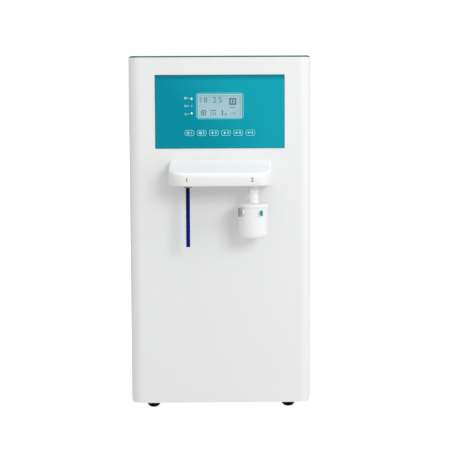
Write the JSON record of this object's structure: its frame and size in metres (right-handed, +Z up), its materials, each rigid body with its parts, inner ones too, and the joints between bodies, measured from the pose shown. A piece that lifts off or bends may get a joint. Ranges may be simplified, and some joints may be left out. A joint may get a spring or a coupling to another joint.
{
  "type": "ultrapure water system",
  "caption": "Bench water purifier: white upright cabinet with a teal control panel, projecting dispenser head, blue outlet tube and filter capsule.",
  "frame": {"origin": "middle of the object's footprint on the bench top", "axes": "+X to the right seen from the front, front faces -Y, +Z up"},
  "size_m": [0.29, 0.5048, 0.568],
  "materials": {
    "white_plastic": "moulded, satin",
    "white_paint": "powder coat, satin",
    "teal_paint": "powder coat, satin",
    "teal_film": "printed film, semi-matt",
    "zinc_steel": "zinc plated sheet",
    "screw_steel": "satin",
    "aluminium_case": "satin",
    "black_rubber": "matt",
    "dark_plastic": "fine texture",
    "grey_plastic": "smooth",
    "teal_plastic": "smooth",
    "fitting_white": "moulded, smooth",
    "capsule_plastic": "milky, slightly clear",
    "cartridge_white": "moulded, smooth",
    "cartridge_clear": "milky, slightly clear",
    "membrane": "pleated fleece",
    "display_glass": "smooth, backlit",
    "lamp_lens": "diffused lens",
    "circuit_board": "solder mask",
    "motor_black": "semi-gloss",
    "blue_tube": "extruded, smooth",
    "white_tube": "extruded, smooth"
  },
  "bodies": {
    "cabinet": {"base_tray": "zinc_steel", "front_fascia": "white_plastic", "top_cover": "teal_paint", "left_side_panel": "white_paint", "right_side_panel": "white_paint", "rear_panel": "white_paint", "front_crossbar": "zinc_steel", "inner_partition": "zinc_steel", "rubber_feet": "black_rubber", "fasteners": "screw_steel", "control_overlay": "teal_film", "lcd_bezel": "dark_plastic", "lcd_glass": "display_glass", "display_board": "circuit_board", "status_leds": "lamp_lens", "key_switches": "dark_plastic", "head_shell": "white_plastic", "head_base": "white_plastic", "ro_outlet_fitting": "fitting_white", "ro_outlet_tube": "blue_tube", "up_nozzle": "fitting_white", "capsule_head": "capsule_plastic", "capsule_bowl": "capsule_plastic", "filter_membrane": "membrane", "ro_valve": "fitting_white", "up_valve": "fitting_white", "feed_valve": "fitting_white", "pressure_switches": "dark_plastic", "prefilter_cartridge": "cartridge_white", "polishing_cartridge_front": "cartridge_clear", "polishing_cartridge_rear": "cartridge_clear", "ro_housing": "cartridge_white", "ro_end_cap": "cartridge_white", "ro_membrane": "membrane", "cartridge_clips": "dark_plastic", "permeate_manifold": "fitting_white", "pump_motor": "motor_black", "pump_head": "dark_plastic", "pump_bracket": "zinc_steel", "power_supply": "aluminium_case", "main_board": "circuit_board", "conductivity_cell": "screw_steel", "inner_tubing": "white_tube", "power_inlet": "dark_plastic", "feed_port": "fitting_white", "waste_port": "fitting_white", "tank_port": "fitting_white"},
    "power_key": {"power_key": "teal_film"},
    "menu_key": {"menu_key": "teal_film"},
    "down_key": {"down_key": "teal_film"},
    "up_key": {"up_key": "teal_film"},
    "back_key": {"back_key": "teal_film"},
    "enter_key": {"enter_key": "teal_film"},
    "ro_collet": {"ro_collet": "grey_plastic"},
    "vent_knob": {"vent_knob": "grey_plastic"},
    "bleed_lever": {"bleed_lever": "teal_plastic"},
    "rocker_switch": {"rocker_switch": "dark_plastic"},
    "feed_collet": {"feed_collet": "grey_plastic"},
    "waste_collet": {"waste_collet": "grey_plastic"},
    "tank_collet": {"tank_collet": "grey_plastic"}
  },
  "joints": [
    {"name": "power_key_press", "type": "slide", "parent": "cabinet", "child": "power_key", "axis": [0, 1, 0], "range_m": [0, 0.0005], "stiffness_N_per_m": 2000},
    {"name": "menu_key_press", "type": "slide", "parent": "cabinet", "child": "menu_key", "axis": [0, 1, 0], "range_m": [0, 0.0005], "stiffness_N_per_m": 2000},
    {"name": "down_key_press", "type": "slide", "parent": "cabinet", "child": "down_key", "axis": [0, 1, 0], "range_m": [0, 0.0005], "stiffness_N_per_m": 2000},
    {"name": "up_key_press", "type": "slide", "parent": "cabinet", "child": "up_key", "axis": [0, 1, 0], "range_m": [0, 0.0005], "stiffness_N_per_m": 2000},
    {"name": "back_key_press", "type": "slide", "parent": "cabinet", "child": "back_key", "axis": [0, 1, 0], "range_m": [0, 0.0005], "stiffness_N_per_m": 2000},
    {"name": "enter_key_press", "type": "slide", "parent": "cabinet", "child": "enter_key", "axis": [0, 1, 0], "range_m": [0, 0.0005], "stiffness_N_per_m": 2000},
    {"name": "ro_collet_release", "type": "slide", "parent": "cabinet", "child": "ro_collet", "axis": [0, 0, 1], "range_m": [0, 0.0012]},
    {"name": "feed_collet_release", "type": "slide", "parent": "cabinet", "child": "feed_collet", "axis": [0, -1, 0], "range_m": [0, 0.0012]},
    {"name": "waste_collet_release", "type": "slide", "parent": "cabinet", "child": "waste_collet", "axis": [0, -1, 0], "range_m": [0, 0.0012]},
    {"name": "tank_collet_release", "type": "slide", "parent": "cabinet", "child": "tank_collet", "axis": [0, -1, 0], "range_m": [0, 0.0012]},
    {"name": "vent_knob_turn", "type": "hinge", "parent": "cabinet", "child": "vent_knob", "pos_m": [0.051, -0.22435, 0.3246], "axis": [-0.7547, -0.6561, 0], "range_deg": [0, 90]},
    {"name": "bleed_lever_turn", "type": "hinge", "parent": "cabinet", "child": "bleed_lever", "pos_m": [0.051, -0.22435, 0.3233], "axis": [0.4384, -0.8988, 0], "range_deg": [0, 90]},
    {"name": "mains_rocker", "type": "hinge", "parent": "cabinet", "child": "rocker_switch", "pos_m": [-0.085, 0.23065, 0.463], "axis": [1, 0, 0], "range_deg": [-18, 0]}
  ]
}
